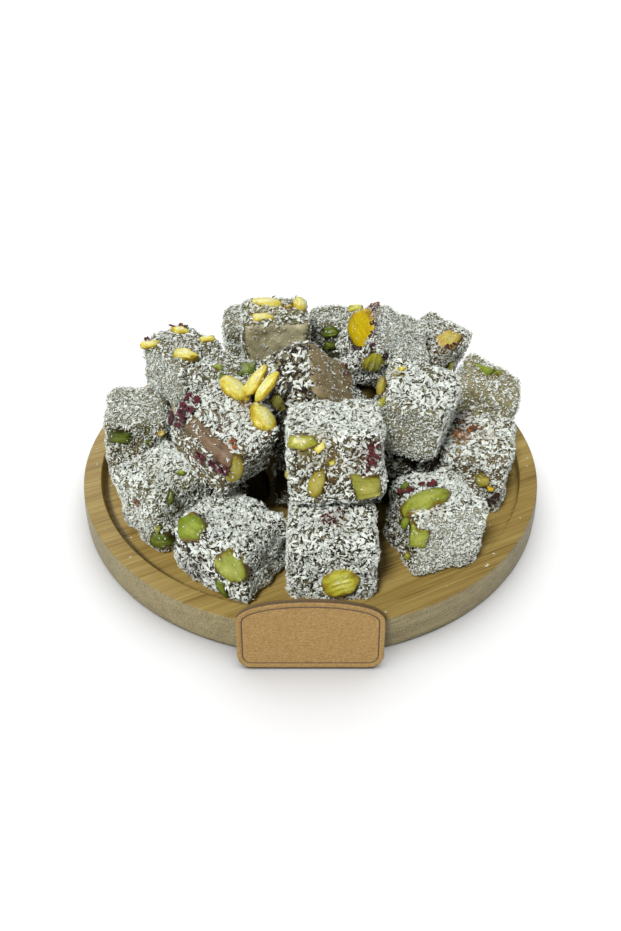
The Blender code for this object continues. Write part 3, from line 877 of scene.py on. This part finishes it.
pistachio, tree = new_material(
    # pistachio boiled in syrup and cut: a moist, waxy, slightly clear kernel
    "cut_pistachio",
    {
        "Roughness": 0.34,
        "IOR": 1.47,
        "Specular IOR Level": 0.45,
        "Subsurface Weight": 0.4,
        "Subsurface Radius": (1.0, 0.9, 0.3),
        "Subsurface Scale": 0.0015,
    },
)
# the flesh is streaked every 0.8 mm or so
streak_stops = ((0.32, "#E2DDC6"), (0.62, "#FFFFFF"))
streaked, streaks = mottled(tree, "kernel_colour", 1200, 3, 0.65, streak_stops)
surface(tree, streaked, streaks, 0.2, 0.2)

# Each kernel as made: its middle, its axes as columns, size, corners and seed of its outline
kernels = {}
for number, (key, entry) in enumerate({**KERNELS, **LOOSE_KERNELS}.items()):
    centre = middle_of("pistachio_" + key)
    first, second, *size, corner_count, flatness, tone, kind = entry
    if key in KERNELS:
        axes = placed[key[:-2]][1] @ kernel_frame(first, second)
        centre = centre + axes[:, 2] * KERNEL_LIFT
    else:
        axes = turn_matrix(first, 0, second)
    seed = 500 + 10 * number
    points, faces, edge = kernel_mesh(*size, corner_count, flatness, tone in SMOOTH_TONES, seed)
    layers = {"kernel_colour": kernel_colour(points, edge, *TONES[tone], seed)}
    kernels[key] = (centre, axes, np.array(size, float), corner_count, seed)
    made = new_mesh("kernel_" + key, points @ axes.T + centre, faces, pistachio, True, layers)
    add_piece(made, "pistachio_" + kind, "pistachio_" + key)

# Small bits and slivers of kernel caught in the surface: cube, place in its own axes, facing,
# turn, length, width, thickness, corners, tone
SLIVERS = [
    ("front_1", (6.5, -13.8, -7.5), (0, -1, 0.2), -50, 9, 3.5, 2.5, 0, "dark"),
    ("front_3", (-13.8, -6, 7.5), (-1, -0.3, 0.3), 80, 7, 3.5, 3, 0, "fresh"),
    ("front_3", (-13.8, -9.5, -6), (-1, -0.4, 0), 70, 5, 3, 3, 4, "pale"),
    ("front_3", (-10, 4.5, 14.2), (-0.2, 0, 1), 40, 6, 3.5, 3, 4, "dark"),
    ("left_1", (8.5, 3.9, 14.7), (0, 0, 1), 20, 4, 2.6, 2, 4, "fresh"),
    ("left_1", (13.5, -5.7, 11.7), (1, 0, 0.4), 60, 6, 3, 2.5, 5, "dark"),
    ("left_1", (-4, -13.2, 2), (0, -1, 0), 30, 3, 2, 2, 4, "dark"),
    ("left_1", (12, -12, -1), (1, -1, 0), 80, 5, 3, 2.5, 3, "pale"),
    ("left_2", (5, -14.5, 6), (0, -1, 0), 10, 5, 3, 2.5, 4, "dark"),
    ("left_2", (10.5, -14.5, 9.5), (0, -1, 0.3), 30, 4, 3, 2, 5, "tan"),
    ("middle_3", (-13.4, -6.5, 12), (-1, -0.2, 0.8), 5, 11, 4.5, 2.5, 0, "syrup"),
    ("middle_3", (-11.5, -12.6, 9.5), (-0.4, -1, 0.5), 60, 8, 4, 2.5, 4, "mixed"),
    ("middle_3", (-9, 4, 13.6), (0, 0, 1), 50, 4, 2.5, 2, 4, "cream"),
    ("middle_2", (-15.4, -9, -2), (-1, -0.7, 0.1), 50, 8, 4, 3, 0, "mixed"),
    ("middle_2", (-4.5, -13.2, 10.5), (0, -1, 0.6), 40, 5, 2.6, 2, 4, "cream"),
    ("middle_2", (-1, -13.2, 4.5), (0, -1, 0), 20, 3, 2, 2, 4, "olive"),
    ("upper_1", (-7, -10.5, 12.4), (0, -0.2, 1), 50, 8.5, 4, 3, 0, "cream"),
    ("upper_1", (6.5, 8.5, 12.6), (0, 0, 1), 60, 9, 4.5, 3, 4, "cream"),
    ("upper_2", (-3, -3.5, 12.5), (0, 0, 1), 0, 6, 4, 2.5, 4, "fresh"),
    ("upper_2", (1, -8, 12.2), (0, -0.3, 1), 70, 4, 3, 2, 4, "dark"),
    ("back_2", (-3, -12.6, 0.5), (0, -1, 0), 0, 7, 5, 3, 4, "dark"),
    ("back_3", (11.8, -2, -1), (1, -0.3, 0), 80, 8, 5, 3, 4, "mixed"),
    ("right_1", (8, -14.2, -1), (0, -1, 0), 0, 4, 3, 2, 4, "gold"),
    ("right_2", (0.5, 4.5, 14.6), (0, 0, 1), 75, 6, 3, 2.5, 3, "fresh"),
    ("top_1", (5.5, 0.5, 14.6), (0, 0, 1), 30, 4, 3, 2, 4, "tan"),
    ("top_3", (-3, -13.6, 9), (0, -1, 0), 20, 6, 2.5, 2, 0, "olive"),
    ("top_3", (-14.2, 11.5, -1), (-1, 0.1, 0.2), 60, 8, 5, 3, 4, "mixed"),
]
parts = []
for number, (key, spot, facing, turn_angle, *size, corner_count, tone) in enumerate(SLIVERS):
    centre, turn, _ = placed[key]
    axes = turn @ kernel_frame(facing, turn_angle)
    seed = 1500 + 10 * number
    points, faces, edge = kernel_mesh(*size, corner_count, 3, False, seed, 28, 7)
    colour = kernel_colour(points, edge, *TONES[tone], seed)
    parts.append((points @ axes.T + centre + turn @ np.array(spot), faces, colour))
add_piece(one_mesh("kernel_slivers", parts, pistachio, True, "kernel_colour"), "pistachio_green")

# ---------------------------------------------------------------------------------------------
# The red: scraps of dried rose petal and of the kernels' dark red skin, leathery sheets a third
# of a millimetre thick, curled in drying and caught in the tacky surface in small clusters.
# Each cluster: cube, place in its own axes, facing, spread along and across, turn, count, colour
PETALS = [
    ("middle_1", (-7.4, 12.5, 12.5), (0, 0, 1), 4.5, 2.5, 30, 11, "#7A1C34"),
    ("middle_1", (-12.3, 11.5, 11), (-1, 0, 0.5), 4, 2.5, 80, 10, "#5E1830"),
    ("middle_1", (-12.6, -7.5, 5.5), (-1, -0.2, 0), 7.5, 2.6, 15, 26, "#6A1228"),
    ("middle_1", (-5.5, -8.2, 12.6), (0, 0, 1), 2, 1.5, 0, 4, "#B0602A"),
    ("middle_2", (12.4, -13, 6), (0, -1, 0), 4.5, 1.6, 75, 13, "#6E1418"),
    ("middle_2", (10.5, -13, 1.5), (0, -1, 0), 3, 1.6, 40, 7, "#6E1418"),
    ("front_2", (-0.5, -2, 15.1), (0, 0, 1), 3.5, 2.4, 20, 11, "#5E2018"),
    ("front_3", (-5.5, 2.8, 14.5), (0, 0, 1), 8.5, 0.9, 4, 16, "#7A1E18"),
    ("front_1", (3, -13.8, -4), (0, -1, 0), 5, 0.8, -55, 8, "#4E1C18"),
    ("right_1", (9.5, -14.3, -6), (0, -1, 0), 3, 2.4, 40, 9, "#3E1E10"),
    ("right_1", (-8, 8.5, 15), (0, 0, 1), 6, 2.2, 50, 17, "#5A2A1C"),
    ("right_1", (-4, 1, 15.1), (0, 0, 1), 6, 1.5, 20, 9, "#9A5A20"),
    ("right_1", (-7, -4.5, 15.1), (0, 0, 1), 2.8, 2, 10, 8, "#C07A22"),
    ("top_3", (-13.2, -1, 11.6), (-1, 0, 1), 11, 1.0, 0, 22, "#4E1822"),
    ("top_3", (-13.6, -7.5, 0), (-1, -0.3, 0), 4.5, 2.4, 80, 8, "#3E141C"),
    ("top_3", (-4.5, -13.4, 11.5), (0, -1, 0.6), 5.5, 0.7, 5, 8, "#3E1420"),
    ("top_3", (-12.5, 9.5, 11.8), (-0.8, 0, 1), 2.2, 1.6, 20, 6, "#8A4A24"),
    ("top_2", (12, 11, 11.5), (1, 0.3, 0.5), 4, 2, 30, 6, "#6A2428"),
    ("upper_1", (-9, 7, 12.7), (0, 0, 1), 3.5, 1, 60, 6, "#7A2A18"),
    ("upper_1", (-11.4, -9.5, 11.2), (-0.5, -0.5, 1), 1.8, 1.2, 0, 5, "#4E1A22"),
    ("back_3", (10, -7, 10), (0.6, -0.6, 1), 4.5, 0.8, 40, 6, "#6A3418"),
    ("left_1", (3, -13.3, 8), (0, -1, 0), 2, 1.5, 0, 4, "#8A5A34"),
]
PETAL_THICKNESS = 0.3
PETAL_LENGTHS = (1.4, 3.2)
PETAL_WIDTH_SHARES = (0.4, 0.8)
PETAL_CURLS = (0.1, 0.5)


def petal_mesh(length, width, curl, seed, steps=4):
    """A leaf-shaped sheet: half width times the root of the sine of the way along, bent up by
    the square of the distance from its middle; the under side lies one thickness below."""
    rng = np.random.default_rng(seed)
    u, v = np.meshgrid(np.linspace(0, 1, steps + 1), np.linspace(-1, 1, steps + 1), indexing="ij")
    half = width / 2 * (0.25 + 0.75 * np.sqrt(np.sin(np.pi * np.clip(u, 0.02, 0.98))))
    x, y = (u - 0.5) * length, v * half
    z = curl * (v**2 + 0.6 * (2 * u - 1) ** 2) + rng.uniform(-0.12, 0.12, u.shape)
    top = np.stack([x, y, z], axis=-1).reshape(-1, 3)
    count = (steps + 1) ** 2
    index = np.arange(count).reshape(steps + 1, steps + 1)
    up = grid_quads(index)
    rim = np.concatenate([index[:-1, 0], index[-1, :-1], index[:0:-1, -1], index[0, :0:-1]])
    ahead = np.roll(rim, -1)
    wall = np.stack([rim, rim + count, ahead + count, ahead], axis=1)
    points = np.concatenate([top, top - [0, 0, PETAL_THICKNESS]])
    return points, np.concatenate([up, up[:, ::-1] + count, wall])


petal, tree = new_material(
    # dried rose petal and nut skin: leathery, near matt, dark red with a thin bluish bloom
    "dried_petal",
    {"Roughness": 0.55, "IOR": 1.45, "Sheen Weight": 0.15},
)
# veins and creases stand 0.5 mm apart
crease_stops = ((0.35, "#8A8080"), (0.62, "#FFFFFF"))
creased, creases = mottled(tree, "petal_colour", 2000, 2, 0.6, crease_stops)
surface(tree, creased, creases, 0.4, 0.2)

parts = []
rng = np.random.default_rng(41)
for key, spot, facing, along, across, turn_angle, count, tone in PETALS:
    centre, turn, _ = placed[key]
    frame_of_cluster = kernel_frame(facing, turn_angle)
    for _ in range(count):
        shift = rng.uniform(-1, 1, 2) * (along, across)
        length = rng.uniform(*PETAL_LENGTHS)
        width, curl = length * rng.uniform(*PETAL_WIDTH_SHARES), rng.uniform(*PETAL_CURLS)
        points, quads = petal_mesh(length, width, curl, 40 + 50 * len(parts))
        tilt = turn_matrix(rng.uniform(0, 360), rng.uniform(-25, 25), rng.uniform(-25, 25))
        local = points @ tilt.T + [*shift, rng.uniform(0.1, 0.6)]
        world = (local @ frame_of_cluster.T + spot) @ turn.T + centre
        shade = np.array(linear(tone)) * rng.uniform(0.6, 1.3)
        parts.append((world, [quads], np.tile([*shade[:3], 1.0], (len(points), 1))))
add_piece(one_mesh("petal_scraps", parts, petal, True, "petal_colour"), "lokum")

# ---------------------------------------------------------------------------------------------
# The coconut: desiccated flakes 0.5 to 4 mm long, thin, dry and white, rolled on while the
# gel is tacky. Each is a bent chip of four faces; they lie two deep and some stand on end.
CHIP_COUNT_PER_MM2 = 4.7
INNER_CHIP_SHARE = 0.75
CHIP_LENGTHS = (0.5, 3.8)
CHIP_WIDTHS = (0.3, 1.4)
CHIP_THICKNESSES = (0.15, 0.35)
LARGE_FLAKE, SMALL_FLAKE = 2.2, 1.15
# Chips lie on the outer edge of a kernel's face, and nowhere that is shut in by other cubes
KERNEL_BORDER = 0.93
LEAST_OPEN_SHARE = 0.06
# A soaked flake lies low and shows the gel through it, and its darker tone is also painted shade
# under the dry flakes on top; both kinds take some of a stain
DRY_FLAKE = "#F3F8F0"
SOAKED_SHADED_FLAKE = "#B4AC86"
SOAKED_SHADED_SHARE = 0.58
STAIN_SHARE = 0.45
CRUMB_COUNT = 170
GROUPS = {
    "front": ("front_1", "front_2", "front_3"),
    "sides": ("left_1", "left_2", "right_1"),
    "middle": ("middle_1", "middle_2", "middle_3"),
    "top": ("top_1", "top_2", "top_3"),
    "upper": ("upper_1", "upper_2", "right_2"),
    "back": ("back_1", "back_2", "back_3"),
    "inner": tuple(key for key in CUBES if key.startswith("inner")),
}


def spread(points, quads, per_area, rng):
    """Random places on a mesh of quads, even by area, each a random point of one of a quad's
    two triangles. Gives the quad, the triangle's corners, their weights and the way out."""
    triangles = np.concatenate([quads[:, [0, 1, 2]], quads[:, [0, 2, 3]]])
    a, b, c = (points[triangles[:, k]] for k in range(3))
    normal = np.cross(b - a, c - a)
    area = np.linalg.norm(normal, axis=1) / 2
    count = int(area.sum() * per_area)
    pick = rng.choice(len(triangles), count, p=area / area.sum())
    s, t = rng.uniform(size=(2, count))
    s, t = np.where(s + t > 1, 1 - s, s)[:, None], np.where(s + t > 1, 1 - t, t)[:, None]
    outward = normal[pick] / (2 * area[pick])[:, None]
    weights = np.stack([1 - s - t, s, t], axis=1)
    return pick % len(quads), triangles[pick], weights, outward


def chips(places, outward, length, width, thickness, lean, rng):
    """Bent chips: two ends low on the long axis, two sides high across it. The frame of each
    is turned at random about the outward direction and leant from it."""
    count = len(places)
    way = unit(np.cross(outward, rng.normal(size=(count, 3))))
    across = np.cross(outward, way)
    tip_long, tip_wide = rng.normal(size=(2, count, 1)) * lean[:, None]
    up = unit(outward + way * tip_long + across * tip_wide)
    way = unit(way - up * (way * up).sum(axis=1)[:, None])
    across = np.cross(up, way)
    flip = np.where(rng.uniform(size=count) < 0.5, 1.0, -1.0)[:, None]
    shift = rng.uniform(-0.35, 0.35, (count, 2))
    half_long, half_wide = (length / 2)[:, None], (width / 2)[:, None]
    rise = up * (thickness / 2)[:, None] * flip
    end_a = places + way * half_long + across * half_wide * shift[:, :1] - rise
    end_b = places - way * half_long - across * half_wide * shift[:, :1] - rise
    side_a = places + across * half_wide + way * half_long * shift[:, 1:] + rise
    side_b = places - across * half_wide + way * half_long * shift[:, 1:] * 0.5 + rise
    points = np.stack([end_a, end_b, side_a, side_b], axis=1)
    faces = np.array([[0, 2, 3], [1, 3, 2], [0, 1, 2], [1, 0, 3]])
    faces = np.where(flip[:, :, None] > 0, faces, faces[:, ::-1])
    faces = faces + 4 * np.arange(count)[:, None, None]
    return points.reshape(-1, 3), faces.reshape(-1, 3)


def loose_chips(name, places, outward, length, breadth, thickness, lean, darkest, rng):
    """A piece of dry chips, each as wide as a share of its length."""
    thickness, lean = (np.full(len(places), value) for value in (thickness, lean))
    points, faces = chips(places, outward, length, length * breadth, thickness, lean, rng)
    tone = np.array(linear(DRY_FLAKE)) * rng.uniform(darkest, 1.0, (len(places), 1))
    tone[:, 3] = 1.0
    layers = {"chip_colour": np.repeat(tone, 4, axis=0)}
    add_piece(new_mesh(name, points, faces, coconut, False, layers), "lokum")


def clear_of_kernels(places, reach):
    """False where a place lies over the cut face of a kernel."""
    clear = np.ones(len(places), bool)
    for centre, axes, size, corners, seed in kernels.values():
        own = (places - centre) @ axes
        inside = share_out(own, size, corners, seed) < reach
        clear &= ~(inside & (np.abs(own[:, 2]) < size[2] / 2 + 2))
    return clear


def clear_of_cubes(key, places, margin):
    """False where a place lies in the middle of where another cube touches."""
    clear = np.ones(len(places), bool)
    for other, (centre, turn, size) in placed.items():
        if other != key:
            own = np.abs((places - centre) @ turn)
            clear &= ~(own < size / 2 - margin).all(axis=1)
    return clear


def open_share(key, places, outward):
    """Share of 24 lines of sight, all round at 8 and at 45 degrees, along which a place is seen
    past the other cubes: a line meets a box where it enters all three pairs of sides before it
    leaves any."""
    around, height = np.meshgrid(np.radians(np.arange(0, 360, 30)), np.radians([8, 45]))
    sight = ways_of(around, height).reshape(-1, 3)
    seen = outward @ sight.T > 0.05
    own_centre = placed[key][0]
    for other, (centre, turn, size) in placed.items():
        if other != key and np.linalg.norm(centre - own_centre) < 75:
            start = ((places - centre) @ turn)[:, None]
            way = (sight @ turn)[None]
            ends = np.stack([(-size / 2 - start) / way, (size / 2 - start) / way])
            entry, leave = ends.min(axis=0).max(axis=2), ends.max(axis=0).min(axis=2)
            seen &= ~((entry < leave) & (leave > 0))
    return seen.mean(axis=1)


coconut, tree = new_material(
    # desiccated coconut, shredded and oven dried: matt off-white, a little clear at thin edges
    "desiccated_coconut",
    {"Roughness": 0.55, "IOR": 1.45, "Specular IOR Level": 0.35},
)
chip_colour = node(tree, "Attribute", {"attribute_name": "chip_colour"}).outputs["Color"]
tree.links.new(chip_colour, tree.nodes["Principled BSDF"].inputs["Base Color"])

for group_number, (group, keys) in enumerate(GROUPS.items()):
    rng = np.random.default_rng(900 + group_number)
    parts = []
    for key in keys:
        points, quads, world = gels[key]
        per_area = CHIP_COUNT_PER_MM2 * (INNER_CHIP_SHARE if group == "inner" else 1.0)
        quad, corners, weights, outward = spread(world, quads, per_area, rng)
        places, own = ((mesh[corners] * weights).sum(axis=1) for mesh in (world, points))
        cover, grit, dry, _, gel_and_shade_tone = coat_of(key, own, placed[key][2])
        patch = waves(own, 5.0, 1300 + len(parts)) * 0.25
        keep = rng.uniform(size=len(own)) < np.clip(cover + patch * (1.2 - cover), 0.02, 1)
        keep &= clear_of_kernels(places, KERNEL_BORDER)
        keep &= clear_of_cubes(key, places + outward, 0.5)
        # none reaches into the plate, and none lies where no eye can see it
        keep &= places[:, 2] > RECESS_FLOOR + 0.6
        corner = world[quads]
        middle = corner.mean(axis=1)
        normal = unit(np.cross(corner[:, 2] - corner[:, 0], corner[:, 3] - corner[:, 1]))
        keep &= (open_share(key, middle + normal, normal) > LEAST_OPEN_SHARE)[quad]
        places, outward, own = places[keep], outward[keep], own[keep]
        grit, dry, gel_and_shade_tone = grit[keep], dry[keep], gel_and_shade_tone[keep]
        count = len(places)
        # some flakes are large; these and the dry ones lie on top, lifted off and leaning
        large = rng.uniform(size=count) < 0.06 + 0.14 * np.clip(grit - 0.9, 0, 1)
        on_top = large | (rng.uniform(size=count) < dry)
        length = rng.lognormal(0.0, 0.34, count) * np.where(large, LARGE_FLAKE, SMALL_FLAKE)
        length = np.clip(length * grit, *CHIP_LENGTHS)
        width = np.clip(length * rng.uniform(0.28, 0.65, count), *CHIP_WIDTHS)
        thickness = rng.uniform(*CHIP_THICKNESSES, count)
        lean = np.where(large, 0.3, np.where(on_top, rng.uniform(0.15, 1.0, count), 0.15))
        lift = rng.uniform(0.25, 0.9, count) * on_top
        places = places + outward * lift[:, None]
        chip_points, chip_faces = chips(places, outward, length, width, thickness, lean, rng)
        # flakes under the top layer take the soaked flake's tone mixed with the gel's: partly
        # clear, soaked coconut and partly painted shade beneath the dry flakes
        white, soaked_shaded = np.array(linear(DRY_FLAKE)), np.array(linear(SOAKED_SHADED_FLAKE))
        clear = soaked_shaded * SOAKED_SHADED_SHARE + gel_and_shade_tone * (1 - SOAKED_SHADED_SHARE)
        white = white * np.clip(rng.normal(0.92, 0.17, count), 0.4, 1.0)[:, None]
        clear = clear * rng.uniform(0.55, 1.15, (count, 1))
        colour = np.where(on_top[:, None], white, clear)
        stained = stain_of(key, own, colour)
        colour = colour + (stained - colour) * STAIN_SHARE
        colour[:, 3] = 1.0
        parts.append((chip_points, [chip_faces], np.repeat(colour, 4, axis=0)))
    add_piece(one_mesh("coconut_" + group, parts, coconut, False, "chip_colour"), "lokum")

# A few flakes stick to the kernels' faces
rng = np.random.default_rng(77)
places, outward = [], []
for centre, axes, size, *_ in kernels.values():
    count = rng.integers(3, 9)
    angle, share = rng.uniform(0, 2 * np.pi, count), np.sqrt(rng.uniform(0, 0.6, count))
    x, y = np.cos(angle) * share * size[0] / 2, np.sin(angle) * share * size[1] / 2
    places.append(centre + np.column_stack([x, y, np.full(count, size[2] / 2 + 0.05)]) @ axes.T)
    outward.append(np.tile(axes[:, 2], (count, 1)))
places, outward = np.concatenate(places), np.concatenate(outward)
length = rng.uniform(0.6, 1.5, len(places))
loose_chips("coconut_on_kernels", places, outward, length, 0.45, 0.2, 0.2, 0.8, rng)

# Crumbs that fell off lie on the floor and the rim of the plate
rng = np.random.default_rng(78)
angle = rng.uniform(0, 2 * np.pi, CRUMB_COUNT)
on_floor = rng.uniform(size=CRUMB_COUNT) < 0.85
on_floor_radius, on_rim_radius = (
    rng.uniform(inner, outer, CRUMB_COUNT) for inner, outer in ((45, 88), (92.5, 96))
)
radius = np.where(on_floor, on_floor_radius, on_rim_radius)
level = np.where(on_floor, RECESS_FLOOR, PLATE_TOP) + 0.12
places = np.stack([radius * np.cos(angle), radius * np.sin(angle), level], axis=1)
outward = np.tile([0.0, 0.0, 1.0], (CRUMB_COUNT, 1))
length = np.clip(rng.lognormal(-0.2, 0.4, CRUMB_COUNT), 0.4, 2.2)
loose_chips("coconut_crumbs", places, outward, length, 0.5, 0.22, 0.05, 0.75, rng)
